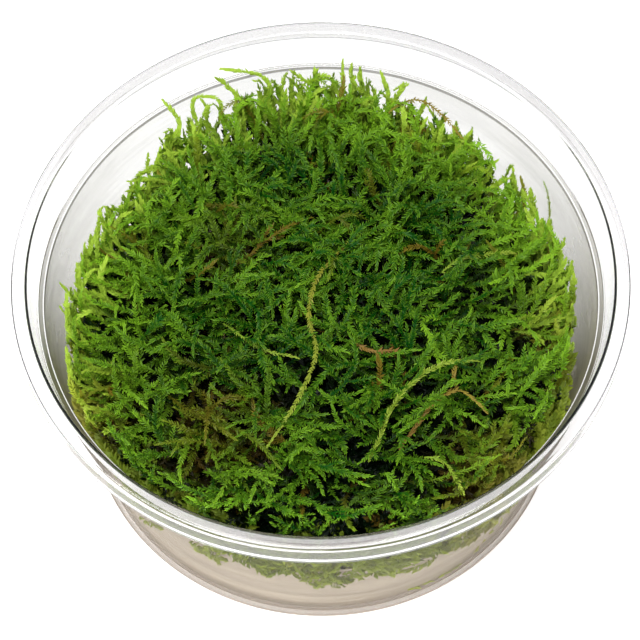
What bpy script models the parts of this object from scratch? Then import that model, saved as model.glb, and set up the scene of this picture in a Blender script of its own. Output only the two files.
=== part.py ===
"""A clump of aquarium moss in its clear plastic cup.

The cup is one thin moulding with a rolled rim. A layer of culture gel lies in it, the moss clump
grows on the gel, and a few loose shoots lie on top of the clump. Nothing moves.

Run with: blender --background --python part.py
The frame has +Z up, with the origin at the centre of the cup's base.
"""

import math

import bpy

MM = 0.001  # the dimensions below are millimetres, and Blender's unit is the metre
TURN_STEPS = 64  # facets round every turned piece
MERGE = 0.00001

# --- driving dimensions, mm -------------------------------------------------------------------
RIM_RADIUS = 50.5
CUP_HEIGHT = 46.6
BASE_RADIUS = 40.1  # where the outer wall's slope would meet the table
LEDGE_RADIUS = 46.5  # outer wall just under the collar
LEDGE_HEIGHT = 39.4
WALL = 0.9
COLLAR_STEP = 0.9  # how far the collar stands out from the wall below it
MOUTH_RADIUS = 47.8
SKIRT_HEIGHT = 4.2  # how far the rim's outer skirt hangs down
FOOT_INNER_RADIUS = 34.8  # the ring that the cup stands on runs from here to its corner
BASE_PUSH_UP = 0.6  # the base panel stands this far off the table
CORNER_RADIUS = 2.2
CORNER_INSET = 1.8  # the corner's centre, inwards from BASE_RADIUS

GAP = 0.3  # kept between pieces that touch
GEL_TOP = 12.6
GEL_MENISCUS = 0.5  # the gel climbs this far where it meets the wall

MOSS_PEAK = 40.1
MOSS_SHOULDER_RADIUS = 43.2
MOSS_SHOULDER_DROP = 2.3
MOSS_SIDE_GAP = 0.6
LUMP_HEIGHT = 0.4

SHOOT_RADIUS = 0.55
SHOOT_POINT_SPACING = 1.8

# Loose shoots that lie on the clump: places along each one, as seen from above.
SHOOT_ROUTES = {
    "long_shoot": [(5, 9), (2, 5), (-1, 0), (-2, -6), (-1, -13), (-4, -21), (-9, -29)],
    "forked_old_shoot": [(12, -30), (15, -26), (18, -22), (22, -20), (26, -23)],
    "pale_front_shoot": [(7, -32), (9, -28), (11, -23), (15, -18), (20, -15), (25, -14)],
    "arching_back_shoot": [(12, 33), (15, 35), (18, 35), (21, 32), (24, 28)],
    "left_shoot": [(-16, -6), (-13, -9), (-9, -12), (-4, -13)],
    "right_shoot": [(20, 3), (23, 5), (27, 6), (32, 7)],
    "short_brown_shoot": [(5, -10), (8, -12), (13, -12)],
    "drooping_front_shoot": [(16, -31), (19, -32), (21, -35), (22, -37)],
}
OLD_SHOOTS = {"forked_old_shoot", "arching_back_shoot", "short_brown_shoot"}  # turned brown


# --- helpers ----------------------------------------------------------------------------------
def clear_scene():
    for thing in list(bpy.data.objects):
        bpy.data.objects.remove(thing)


def make_collection(name):
    found = bpy.data.collections.new(name)
    bpy.context.scene.collection.children.link(found)
    return found


def make_material(name, colour, roughness, transmission=0.0):
    material = bpy.data.materials.new(name)
    material.use_nodes = True
    surface = material.node_tree.nodes["Principled BSDF"]
    surface.inputs["Base Color"].default_value = (*colour, 1.0)
    surface.inputs["Roughness"].default_value = roughness
    surface.inputs["Metallic"].default_value = 0.0
    surface.inputs["Transmission Weight"].default_value = transmission
    return material


def arc(centre, radius, start_deg, end_deg, steps):
    """Points on an arc in the profile's plane, from the start angle to the end angle."""
    angles = [math.radians(start_deg + (end_deg - start_deg) * i / steps) for i in range(steps + 1)]
    return [(centre[0] + radius * math.cos(a), centre[1] + radius * math.sin(a)) for a in angles]


def turned(name, profile, material, collection):
    """A solid of revolution about Z. The profile is (radius, height) in mm, outer side downwards."""
    mesh = bpy.data.meshes.new(name)
    points = [(radius * MM, 0.0, height * MM) for radius, height in profile]
    edges = [(i, i + 1) for i in range(len(points) - 1)]
    mesh.from_pydata(points, edges, [])
    thing = bpy.data.objects.new(name, mesh)
    collection.objects.link(thing)
    screw = thing.modifiers.new("Turn", "SCREW")
    screw.steps = TURN_STEPS
    screw.render_steps = TURN_STEPS
    screw.use_merge_vertices = True
    screw.merge_threshold = MERGE
    screw.use_smooth_shade = True
    thing.data.materials.append(material)
    return thing


def frozen(thing):
    """Replaces an object's mesh with what its modifiers make of it."""
    graph = bpy.context.evaluated_depsgraph_get()
    mesh = bpy.data.meshes.new_from_object(thing.evaluated_get(graph))
    thing.modifiers.clear()
    thing.data = mesh
    return thing


# --- the cup ----------------------------------------------------------------------------------
def wall_outer(height):
    """Outer radius of the sloping wall at a height below the ledge."""
    return BASE_RADIUS + (LEDGE_RADIUS - BASE_RADIUS) * height / LEDGE_HEIGHT


def wall_inner(height):
    return wall_outer(height) - WALL


def cup_profile():
    corner = (BASE_RADIUS - CORNER_INSET, CORNER_RADIUS)
    panel_top = BASE_PUSH_UP + WALL
    inside = [(0.0, panel_top), (FOOT_INNER_RADIUS - WALL, panel_top), (FOOT_INNER_RADIUS, WALL)]
    inside += arc(corner, CORNER_RADIUS - WALL, -90, -9, 3)
    inside += [
        (wall_inner(LEDGE_HEIGHT), LEDGE_HEIGHT + 0.6),
        (wall_inner(LEDGE_HEIGHT) + COLLAR_STEP, LEDGE_HEIGHT + 1.2),
        (MOUTH_RADIUS, CUP_HEIGHT - 0.35),
    ]
    skirt_bottom = CUP_HEIGHT - SKIRT_HEIGHT
    crest = [(MOUTH_RADIUS + 0.3, CUP_HEIGHT)]
    crest += arc((RIM_RADIUS - 1.2, CUP_HEIGHT - 1.2), 1.2, 90, 0, 3)
    skirt = [
        (RIM_RADIUS, skirt_bottom + 1.6),
        (RIM_RADIUS - 0.35, skirt_bottom + 1.3),
        (RIM_RADIUS - 0.35, skirt_bottom + 1.0),
        (RIM_RADIUS, skirt_bottom + 0.7),
        (RIM_RADIUS - 0.15, skirt_bottom),
        (RIM_RADIUS - WALL, skirt_bottom),
        (RIM_RADIUS - WALL, CUP_HEIGHT - 1.4),
        (MOUTH_RADIUS + WALL, CUP_HEIGHT - 1.0),
    ]
    outside = [
        (LEDGE_RADIUS + COLLAR_STEP, LEDGE_HEIGHT + 0.6),
        (LEDGE_RADIUS, LEDGE_HEIGHT),
    ]
    outside += arc(corner, CORNER_RADIUS, -9, -90, 4)
    outside += [(FOOT_INNER_RADIUS, 0.0), (FOOT_INNER_RADIUS - 0.6, BASE_PUSH_UP), (0.0, BASE_PUSH_UP)]
    return inside + crest + skirt + outside


def make_cup(collection):
    plastic = make_material("clear_plastic", (0.92, 0.93, 0.92), 0.08, transmission=0.9)
    return turned("cup", cup_profile(), plastic, collection)


# --- the culture gel --------------------------------------------------------------------------
def gel_profile():
    corner = (BASE_RADIUS - CORNER_INSET, CORNER_RADIUS)
    panel_top = BASE_PUSH_UP + WALL + GAP
    edge = wall_inner(GEL_TOP) - GAP
    top = [(0.0, GEL_TOP), (edge - 2.5, GEL_TOP), (edge, GEL_TOP + GEL_MENISCUS)]
    under = arc(corner, CORNER_RADIUS - WALL - GAP, -9, -90, 3)
    under += [
        (FOOT_INNER_RADIUS + GAP, WALL + GAP),
        (FOOT_INNER_RADIUS - WALL, panel_top),
        (0.0, panel_top),
    ]
    return top + under


def make_gel(collection):
    agar = make_material("culture_gel", (0.72, 0.66, 0.56), 0.25, transmission=0.5)
    return turned("gel", gel_profile(), agar, collection)


# --- the moss clump ---------------------------------------------------------------------------
def dome(radius):
    """Height of the clump's top before its lumps, at a distance from the axis."""
    return MOSS_PEAK - MOSS_SHOULDER_DROP * (radius / MOSS_SHOULDER_RADIUS) ** 2.5


def lumps(x, y):
    """Uneven tufts over the top, which die away towards the cup's wall."""
    wave = math.sin(x / 5.1 + 1.3) * math.cos(y / 6.3 + 0.4) + 0.6 * math.sin((x + y) / 3.7 + 0.5)
    fade = max(0.0, 1.0 - (math.hypot(x, y) / MOSS_SHOULDER_RADIUS) ** 4)
    return LUMP_HEIGHT * wave * fade


def moss_top(x, y):
    return dome(math.hypot(x, y)) + lumps(x, y)


def moss_profile():
    ring_spacing = 4.8
    rings = [ring_spacing * i for i in range(int(MOSS_SHOULDER_RADIUS / ring_spacing) + 1)]
    top = [(radius, dome(radius)) for radius in [*rings, MOSS_SHOULDER_RADIUS]]
    bottom = GEL_TOP + GEL_MENISCUS + GAP
    side_top = dome(MOSS_SHOULDER_RADIUS) - 1.6
    side = [(wall_inner(h) - MOSS_SIDE_GAP, h) for h in (side_top, (side_top + bottom) / 2, bottom)]
    return top + side + [(0.0, bottom)]


def make_moss(collection):
    """The clump's outer shape, out to the tips of its shoots."""
    green = make_material("moss_green", (0.06, 0.19, 0.02), 0.6)
    clump = frozen(turned("moss", moss_profile(), green, collection))
    for vertex in clump.data.vertices:
        x, y, z = (value / MM for value in vertex.co)
        if z > dome(MOSS_SHOULDER_RADIUS) - 0.1:
            vertex.co.z = moss_top(x, y) * MM
    return clump


# --- the loose shoots -------------------------------------------------------------------------
def curve_value(before, start, end, after, t):
    """One coordinate of a Catmull-Rom curve, a share t of the way from start to end."""
    linear = end - before
    square = 2 * before - 5 * start + 4 * end - after
    cube = 3 * start - before - 3 * end + after
    return 0.5 * (2 * start + linear * t + square * t**2 + cube * t**3)


def smooth_route(corners):
    """Points about SHOOT_POINT_SPACING apart on a smooth curve through the corners."""
    ends = [corners[0], *corners, corners[-1]]
    points = []
    for span in zip(ends, ends[1:], ends[2:], ends[3:]):
        steps = max(2, round(math.dist(span[1], span[2]) / SHOOT_POINT_SPACING))
        for i in range(steps):
            points.append(tuple(curve_value(*axis, i / steps) for axis in zip(*span)))
    return [*points, corners[-1]]


def lie_height(x, y):
    """Centre height of a shoot that rests on the highest moss under it."""
    reach = SHOOT_RADIUS + GAP
    under = [moss_top(x + reach * dx, y + reach * dy) for dx in (-1, 0, 1) for dy in (-1, 0, 1)]
    return max(under) + reach


def make_shoot(name, corners, material, collection):
    route = smooth_route(corners)
    data = bpy.data.curves.new(name, "CURVE")
    data.dimensions = "3D"
    data.bevel_depth = SHOOT_RADIUS * MM
    data.bevel_resolution = 1
    data.use_fill_caps = True
    spline = data.splines.new("POLY")
    spline.points.add(len(route) - 1)
    for point, (x, y) in zip(spline.points, route):
        point.co = (x * MM, y * MM, lie_height(x, y) * MM, 1.0)
    shoot = bpy.data.objects.new(name, data)
    shoot.data.materials.append(material)
    collection.objects.link(shoot)
    return shoot


def make_shoots(collection):
    fresh = make_material("pale_shoot", (0.42, 0.50, 0.08), 0.55)
    old = make_material("old_shoot", (0.35, 0.22, 0.06), 0.65)
    for name, corners in SHOOT_ROUTES.items():
        make_shoot(name, corners, old if name in OLD_SHOOTS else fresh, collection)


def main():
    clear_scene()
    collection = make_collection("moss_clump_in_cup")
    make_cup(collection)
    make_gel(collection)
    make_moss(collection)
    make_shoots(collection)


main()
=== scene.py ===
# %% [markdown]
# # A clump of aquarium moss in its clear plastic cup
#
# The real thing is some thousands of feathery moss shoots, tangled into one springy clump. It stands on
# a layer of pale culture gel, in a thin clear cup with a rolled rim. This lesson builds it in the order
# in which you would meet it on a bench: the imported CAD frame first, then the moss, the loose shoots on
# top, the gel, the cup, and last the light and the camera.

# %% Load the frame
import math

import bpy
import numpy as np
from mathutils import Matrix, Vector
from mathutils.bvhtree import BVHTree


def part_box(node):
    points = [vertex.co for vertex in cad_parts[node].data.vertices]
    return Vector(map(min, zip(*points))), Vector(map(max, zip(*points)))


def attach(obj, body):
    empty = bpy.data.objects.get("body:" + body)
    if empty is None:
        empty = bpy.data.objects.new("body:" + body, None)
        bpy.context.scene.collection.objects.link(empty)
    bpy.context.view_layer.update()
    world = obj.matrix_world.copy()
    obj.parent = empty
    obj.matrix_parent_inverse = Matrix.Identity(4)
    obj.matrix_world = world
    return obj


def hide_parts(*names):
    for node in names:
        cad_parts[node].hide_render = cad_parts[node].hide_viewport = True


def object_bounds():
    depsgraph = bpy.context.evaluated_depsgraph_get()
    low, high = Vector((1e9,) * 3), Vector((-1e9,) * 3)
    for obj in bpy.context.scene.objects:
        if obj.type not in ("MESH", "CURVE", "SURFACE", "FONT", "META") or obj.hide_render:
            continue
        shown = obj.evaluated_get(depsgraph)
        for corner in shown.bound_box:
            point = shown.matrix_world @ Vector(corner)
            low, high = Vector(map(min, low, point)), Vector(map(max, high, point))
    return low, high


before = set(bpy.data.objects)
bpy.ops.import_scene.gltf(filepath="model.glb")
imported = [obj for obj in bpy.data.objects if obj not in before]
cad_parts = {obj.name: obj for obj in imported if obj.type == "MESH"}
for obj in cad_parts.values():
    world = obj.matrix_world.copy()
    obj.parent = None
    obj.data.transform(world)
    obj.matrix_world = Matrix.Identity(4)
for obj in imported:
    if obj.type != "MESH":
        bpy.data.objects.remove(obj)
cad_low, cad_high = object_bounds()
MM = 0.001  # sizes below are in millimetres where a name or a comment says so
scene = bpy.context.scene
print("CAD box, mm:", [round(v / MM, 1) for v in (*cad_low, *cad_high)])

# %% [markdown]
# ## The camera
#
# It looks down on the cup from the front at about 59 degrees, from half a metre away, through a long
# lens. It aims a little below the rim's centre and is turned by about a degree, as a hand-held or
# slightly crooked tripod would be.

# %% Camera
RIM_CENTRE = Vector((0.0, 0.0, cad_high.z))
CAMERA_DISTANCE = 0.505
CAMERA_ELEVATION = math.radians(58.64)
CAMERA_DROP = 7.74 * MM  # how far below the rim's centre it aims
CAMERA_LEFT = 0.22 * MM
CAMERA_ROLL = math.radians(1.16)
LENS = 174.4
SENSOR = 36.0


def make_camera():
    back = Vector((0.0, -math.cos(CAMERA_ELEVATION), math.sin(CAMERA_ELEVATION)))
    up = Vector((0.0, math.sin(CAMERA_ELEVATION), math.cos(CAMERA_ELEVATION)))
    place = RIM_CENTRE + back * CAMERA_DISTANCE
    aim = RIM_CENTRE - up * CAMERA_DROP - Vector((CAMERA_LEFT, 0.0, 0.0))
    data = bpy.data.cameras.new("camera")
    data.lens = LENS
    data.sensor_width = SENSOR
    data.clip_start = 0.01
    data.clip_end = 20.0
    camera = bpy.data.objects.new("camera", data)
    scene.collection.objects.link(camera)
    camera.location = place
    camera.rotation_euler = (aim - place).to_track_quat("-Z", "Y").to_euler()
    camera.rotation_euler.rotate_axis("Z", -CAMERA_ROLL)
    scene.camera = camera
    return camera


camera = make_camera()
print("camera at", [round(v, 3) for v in camera.location])

# %% [markdown]
# ## Node trees without the wiring noise
#
# Shader trees and geometry trees are both made of nodes, sockets and links. A few small helpers keep the
# lessons below readable: one adds a node with its settings and inputs, one starts a group with its
# sockets, and the others are the nodes that come back again and again.


# %% Helpers for node trees
def feed(tree, node, inputs):
    """Links output sockets to a node's inputs, or sets the inputs' plain values, by name or number."""
    for name, value in inputs.items():
        if isinstance(value, bpy.types.NodeSocket):
            tree.links.new(value, node.inputs[name])
        else:
            node.inputs[name].default_value = value


def add_node(tree, kind, inputs=None, **settings):
    made = tree.nodes.new(kind)
    for name, value in settings.items():
        setattr(made, name, value)
    feed(tree, made, inputs or {})
    return made


def new_group(name, kind, inputs, outputs):
    """A group with its sockets, its entry's outputs and its exit.

    A socket is a name, a kind and, if it has one, a default.
    """
    group = bpy.data.node_groups.new(name, kind)
    for direction, sockets in (("INPUT", inputs), ("OUTPUT", outputs)):
        for socket, of_kind, *default in sockets:
            full_kind = "NodeSocket" + of_kind
            made = group.interface.new_socket(name=socket, in_out=direction, socket_type=full_kind)
            if default:
                made.default_value = default[0]
    return group, add_node(group, "NodeGroupInput").outputs, add_node(group, "NodeGroupOutput")


def new_material(name):
    """A material with its tree and its surface shader."""
    material = bpy.data.materials.new(name)
    material.use_nodes = True
    return material, material.node_tree, material.node_tree.nodes["Principled BSDF"]


def math_node(tree, operation, first, second=0.0, clamp=False):
    inputs = {0: first, 1: second}
    return add_node(tree, "ShaderNodeMath", inputs, operation=operation, use_clamp=clamp).outputs[0]


def chain(tree, operation, first, *others):
    """The sum or the product of several values."""
    for value in others:
        first = math_node(tree, operation, first, value)
    return first


def centred(tree, value, span):
    """A 0 to 1 value moved to run from -span/2 to span/2."""
    inputs = {0: value, 1: span, 2: -span / 2}
    return add_node(tree, "ShaderNodeMath", inputs, operation="MULTIPLY_ADD").outputs[0]


def ramp(tree, value, from_low, from_high, to_low, to_high, smooth=True):
    """A value moved from one span to another, eased at both ends or straight."""
    kind = "SMOOTHSTEP" if smooth else "LINEAR"
    inputs = dict(enumerate((value, from_low, from_high, to_low, to_high)))
    return add_node(tree, "ShaderNodeMapRange", inputs, interpolation_type=kind).outputs[0]


def mix_colour(tree, factor, first, second):
    inputs = {"Factor": factor, "A": first, "B": second}
    return add_node(tree, "ShaderNodeMix", inputs, data_type="RGBA").outputs["Result"]


def object_place(tree):
    """Where a point lies on its piece, which is also where it lies in the frame."""
    return add_node(tree, "ShaderNodeTexCoord").outputs["Object"]


def noise(tree, place, scale, detail, roughness=0.5):
    inputs = {"Vector": place, "Scale": scale, "Detail": detail, "Roughness": roughness}
    return add_node(tree, "ShaderNodeTexNoise", inputs).outputs["Fac"]


# %% [markdown]
# ## The colour of a moss leaf
#
# A moss leaf is one cell thick, so light goes through it: the young tips are yellow-green, the older leaves
# are deep green, and the oldest turn olive and brown. Every shoot below carries four attributes, each from 0
# to 1: `tint` (how pale it is, painted backlight included), `age` (how brown), a painted shade for how far it
# lies inside the clump, and `along` (0 at its foot, 1 at its tip). Each leaf adds its own `leaf`, 0 at its
# base and 1 at its tip, which paints the leaf's tip paler: partly its own lighter colour, partly painted
# highlight. One node group turns them into a colour, so that all the moss materials share it, each with its
# own palette.

# %% Shader group: leaf colour
def make_leaf_colour_group():
    palette = [(name, "Color") for name in ("Deep", "Green", "Tip", "Old")]
    results = [("Colour", "Color"), ("Height", "Float")]
    group, entry, leave = new_group("leaf_colour", "ShaderNodeTree", palette, results)
    tint, age, depth, along, leaf = (
        add_node(group, "ShaderNodeAttribute", attribute_name=name).outputs["Fac"]
        for name in ("tint", "age", "depth", "along", "leaf")
    )
    place = object_place(group)
    speckle = noise(group, place, 900.0, 2.0)
    patches = noise(group, place, 110.0, 2.0)

    youth = math_node(group, "MULTIPLY", math_node(group, "POWER", along, 3.0), 0.22)
    # leaf tips painted paler: partly their own lighter colour, partly painted highlight
    edge = math_node(group, "MULTIPLY", math_node(group, "POWER", leaf, 3.0), 0.74)
    own = math_node(group, "MULTIPLY", tint, 0.85)
    pale = chain(group, "ADD", own, youth, edge, centred(group, speckle, 0.50))
    pale = math_node(group, "ADD", pale, centred(group, patches, 0.50), clamp=True)

    fresh = mix_colour(group, pale, entry["Green"], entry["Tip"])
    # painted shade: the farther a point lies inside the clump, the nearer its colour is to the dark shade
    # colour
    shaded = mix_colour(group, depth, fresh, entry["Deep"])
    colour = mix_colour(group, age, shaded, entry["Old"])
    feed(group, leave, {"Colour": colour, "Height": speckle})
    return group


leaf_colour = make_leaf_colour_group()
print("group", leaf_colour.name, "has inputs", [s.name for s in leaf_colour.interface.items_tree])


# %% [markdown]
# ## Moss materials
#
# The same node group with different palettes gives the deep green of the crown, the pale fingers of the
# fringe, the shoots pressed on the wall, whose paler palette is painted light for the lamps that reach them
# through the plastic, and the loose shoots. Moss has little gloss, so the specular level is low and the
# roughness middling.

# %% Moss materials
PALETTES = {  # painted shade far inside the clump, grown leaf, young tip, old leaf
    "moss_leaves": ((0.0004, 0.005, 0.0004), (0.002, 0.06, 0.001), (0.27, 0.53, 0.022), (0.165, 0.1, 0.01)),
    "young_moss_leaves": ((0.01, 0.04, 0.001), (0.024, 0.12, 0.002), (0.38, 0.57, 0.05), (0.2, 0.11, 0.01)),
    # painted light: a paler copy of the moss colours, for the shoots lit through the wall
    "pressed_moss_leaves": ((0.04, 0.08, 0.005), (0.25, 0.34, 0.02), (0.46, 0.56, 0.05), (0.36, 0.28, 0.05)),
    "pale_shoot_leaves": ((0.05, 0.12, 0.01), (0.12, 0.23, 0.01), (0.45, 0.58, 0.07), (0.30, 0.19, 0.03)),
    "old_shoot_leaves": ((0.05, 0.04, 0.01), (0.14, 0.15, 0.01), (0.44, 0.38, 0.05), (0.26, 0.13, 0.035)),
}
MOSS_ROUGHNESS = 0.42
MOSS_SPECULAR = 0.15


def make_moss_material(name):
    material, tree, surface = new_material(name)
    colour = add_node(tree, "ShaderNodeGroup", node_tree=leaf_colour)
    for socket, value in zip(("Deep", "Green", "Tip", "Old"), PALETTES[name]):
        colour.inputs[socket].default_value = (*value, 1.0)
    look = {"Roughness": MOSS_ROUGHNESS, "Specular IOR Level": MOSS_SPECULAR}
    feed(tree, surface, {"Base Color": colour.outputs["Colour"], **look})
    return material


moss_material, young_material, pressed_material, pale_material, old_material = map(
    make_moss_material, PALETTES
)
print("moss materials:", [m.name for m in (moss_material, young_material, pressed_material)])

# %% [markdown]
# ## One leafy shoot, as a Geometry Nodes tree
#
# A shoot is a thread-like stem with small pointed leaves all along it. They stand mostly to the left and
# the right, like a feather's barbs, with some above and below. This repeats tens of thousands of times,
# so a tree does it: it takes shoot centre-lines, sweeps a three-sided stem along them, and sets a leaf
# of four triangles at every step. The tree ends with realized instances and a material, because only
# real mesh leaves Blender.

# %% The leaf: a keeled blade of four triangles
def make_leaf():
    """One leaf, one unit long, with its stalk end at the origin and its tip up the Z axis."""
    points = [(0.0, -0.07, 0.0), (-0.21, 0.04, 0.40), (0.21, 0.04, 0.40), (0.0, -0.05, 1.0)]
    faces = [(0, 1, 3), (0, 3, 2), (0, 2, 1), (1, 2, 3)]
    mesh = bpy.data.meshes.new("leaf")
    mesh.from_pydata([Vector(p) for p in points], [], faces)
    mesh.update()
    centre = sum((v.co for v in mesh.vertices), Vector()) / len(points)
    outwards = all(f.normal.dot(f.center - centre) > 0 for f in mesh.polygons)
    if not outwards:
        mesh.flip_normals()
    along_leaf = mesh.attributes.new("leaf", "FLOAT", "POINT")
    along_leaf.data.foreach_set("value", [0.0, 0.4, 0.4, 1.0])
    leaf = bpy.data.objects.new("leaf", mesh)
    scene.collection.objects.link(leaf)
    return leaf


leaf = make_leaf()
print("leaf:", len(leaf.data.polygons), "triangles")


# %% [markdown]
# ## The tree
#
# A leaf could be placed by Python, but then changing its angle would mean placing a hundred thousand of
# them again. As a tree it is one number. The leaves alternate from side to side by the remainder of their
# index, and towards the tip they close up, so that a shoot ends in a soft point.

# %% The tree
def make_shoot_tree():
    inputs = [
        ("Routes", "Geometry"),
        ("Leaf", "Object"),
        ("Leaf Spacing", "Float", 0.00026),
        ("Leaf Length", "Float", 0.0011),
        ("Leaf Angle", "Float", 0.62),
        ("Leaf Width", "Float", 1.3),
        ("Stem Radius", "Float", 0.00013),
        ("Seed", "Int", 1),
        ("Material", "Material"),
    ]
    tree, entry, leave = new_group("leafy_shoot", "GeometryNodeTree", inputs, [("Mesh", "Geometry")])

    def named(name):
        kind = "GeometryNodeInputNamedAttribute"
        return add_node(tree, kind, {"Name": name}, data_type="FLOAT").outputs["Attribute"]

    def random_between(low, high, offset):
        given = {"Min": low, "Max": high, "Seed": math_node(tree, "ADD", entry["Seed"], offset)}
        return add_node(tree, "FunctionNodeRandomValue", given, data_type="FLOAT").outputs["Value"]

    def turned_by(rotation, x, y, z):
        angles = add_node(tree, "ShaderNodeCombineXYZ", {0: x, 1: y, 2: z}).outputs[0]
        by = add_node(tree, "FunctionNodeEulerToRotation", {0: angles}).outputs[0]
        given = {0: rotation, 1: by}
        return add_node(tree, "FunctionNodeRotateRotation", given, rotation_space="LOCAL").outputs[0]

    along = named("along")
    curve = add_node(tree, "GeometryNodeMeshToCurve", {"Mesh": entry["Routes"]}).outputs["Curve"]
    level = add_node(tree, "GeometryNodeSetCurveNormal", {"Curve": curve}, mode="Z_UP").outputs["Curve"]

    # the stem, thinner towards its tip
    circle = {"Resolution": 3, "Radius": entry["Stem Radius"]}
    ring = add_node(tree, "GeometryNodeCurvePrimitiveCircle", circle).outputs["Curve"]
    given = {"Curve": level, "Profile Curve": ring, "Scale": ramp(tree, along, 0.5, 1.0, 1.0, 0.45)}
    stem = add_node(tree, "GeometryNodeCurveToMesh", {**given, "Fill Caps": True}).outputs["Mesh"]

    # the leaves
    given = {"Curve": level, "Length": entry["Leaf Spacing"]}
    steps = add_node(tree, "GeometryNodeCurveToPoints", given, mode="LENGTH").outputs
    side = math_node(tree, "MODULO", add_node(tree, "GeometryNodeInputIndex").outputs[0], 2.0)
    half_turn = math_node(tree, "MULTIPLY", side, math.pi)
    turn = math_node(tree, "ADD", half_turn, random_between(-0.95, 0.95, 1))
    to_tip = ramp(tree, along, 0.75, 1.0, 1.0, 0.35)
    spread = chain(tree, "MULTIPLY", entry["Leaf Angle"], random_between(0.75, 1.25, 2), to_tip)
    roll = math_node(tree, "ADD", math_node(tree, "MULTIPLY", turn, -1.0), random_between(-0.6, 0.6, 3))
    facing = turned_by(steps["Rotation"], 0.0, spread, turn)
    facing = turned_by(facing, 0.0, 0.0, roll)
    size = chain(tree, "MULTIPLY", entry["Leaf Length"], random_between(0.8, 1.2, 4),
                 ramp(tree, along, 0.0, 0.25, 0.65, 1.0), ramp(tree, along, 0.80, 1.0, 1.0, 0.80),
                 named("size"))  # fmt: skip
    width = math_node(tree, "MULTIPLY", size, entry["Leaf Width"])
    scale = add_node(tree, "ShaderNodeCombineXYZ", {0: width, 1: width, 2: size}).outputs[0]
    blade = add_node(tree, "GeometryNodeObjectInfo", {"Object": entry["Leaf"]}).outputs["Geometry"]
    given = {"Points": steps["Points"], "Instance": blade, "Rotation": facing, "Scale": scale}
    leaves = add_node(tree, "GeometryNodeInstanceOnPoints", given).outputs["Instances"]

    joined = add_node(tree, "GeometryNodeJoinGeometry", {0: stem})
    feed(tree, joined, {0: leaves})
    real = add_node(tree, "GeometryNodeRealizeInstances", {"Geometry": joined.outputs[0]}).outputs[0]
    given = {"Geometry": real, "Shade Smooth": False}
    flat = add_node(tree, "GeometryNodeSetShadeSmooth", given, domain="FACE").outputs[0]
    given = {"Geometry": flat, "Material": entry["Material"]}
    feed(tree, leave, {"Mesh": add_node(tree, "GeometryNodeSetMaterial", given).outputs[0]})
    return tree


shoot_tree = make_shoot_tree()
print("tree", shoot_tree.name, "has", len(shoot_tree.nodes), "nodes")


# %% [markdown]
# ## From centre-lines to a plain mesh
#
# The centre-lines go in as a mesh of edges, with the attributes on its points, because a mesh is quick to
# fill from arrays and the tree turns it into curves. What comes out is read back as a plain mesh, and
# the modifier is removed: the piece keeps its leaves without the tree.

# %% From centre-lines to a plain mesh
ATTRIBUTES = ("along", "tint", "age", "depth", "size")


def routes_mesh(name, batches):
    """A mesh of edges that holds every centre-line. A batch is a dict of equally long routes."""
    count = sum(b["points"].shape[0] * b["points"].shape[1] for b in batches)
    places = np.concatenate([b["points"].reshape(-1, 3) for b in batches])
    edges = []
    first = 0
    for batch in batches:
        shoots, steps = batch["points"].shape[:2]
        starts = first + np.arange(shoots)[:, None] * steps + np.arange(steps - 1)[None, :]
        edges.append(np.stack([starts.ravel(), starts.ravel() + 1], axis=1))
        first += shoots * steps
    edges = np.concatenate(edges)
    mesh = bpy.data.meshes.new(name)
    mesh.vertices.add(count)
    mesh.edges.add(len(edges))
    mesh.vertices.foreach_set("co", places.astype(np.float32).ravel())
    mesh.edges.foreach_set("vertices", edges.astype(np.int32).ravel())
    for key in ATTRIBUTES:
        values = np.concatenate([np.broadcast_to(b[key], b["points"].shape[:2]).ravel() for b in batches])
        mesh.attributes.new(key, "FLOAT", "POINT").data.foreach_set("value", values.astype(np.float32))
    return mesh


def run_tree(piece, tree, inputs):
    """Runs a tree over a piece, with these inputs, and keeps the result as the piece's plain mesh."""
    modifier = piece.modifiers.new(tree.name, "NODES")
    modifier.node_group = tree
    sockets = {s.name: s.identifier for s in tree.interface.items_tree if s.in_out == "INPUT"}
    for name, value in inputs.items():
        modifier[sockets[name]] = value
    graph = bpy.context.evaluated_depsgraph_get()
    mesh = bpy.data.meshes.new_from_object(piece.evaluated_get(graph))
    piece.modifiers.remove(modifier)
    start = piece.data
    piece.data = mesh
    mesh.name = piece.name
    bpy.data.meshes.remove(start)
    return mesh


def leafy_piece(name, batches, material, seed, slot, **sizes):
    """Grows leaves on the centre-lines of several batches, as one plain mesh."""
    piece = bpy.data.objects.new(name, routes_mesh(name + "_routes", batches))
    scene.collection.objects.link(piece)
    named_sizes = {key.replace("_", " ").title(): value for key, value in sizes.items()}
    mesh = run_tree(piece, shoot_tree, {"Leaf": leaf, "Seed": seed, "Material": material, **named_sizes})
    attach(piece, "root")
    triangles = sum(len(p.vertices) - 2 for p in mesh.polygons)
    print(f"{name}: {sum(b['points'].shape[0] for b in batches)} shoots, {triangles} triangles")
    return piece


# %% [markdown]
# ## How the shoots grow
#
# Nobody could place thousands of shoots by hand, and they must not look combed. So they grow: each
# starts at a point in the clump with a heading, takes short steps, wanders a little, curls to one side,
# and is steered up or down to stay near the height of the clump's top. The cup's wall turns it back.
# All shoots of a batch take each step at once, as numpy arrays, with a fixed seed.

# %% The clump's outer shape, read from the CAD solid
GRID_STEP = 1.0 * MM
GRID_HALF = 46
gel_low, gel_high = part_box("gel")
cup_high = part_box("cup")[1]
MOSS_REACH = 43.5 * MM  # the height is read no farther out than this, where the solid still has a top


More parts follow.
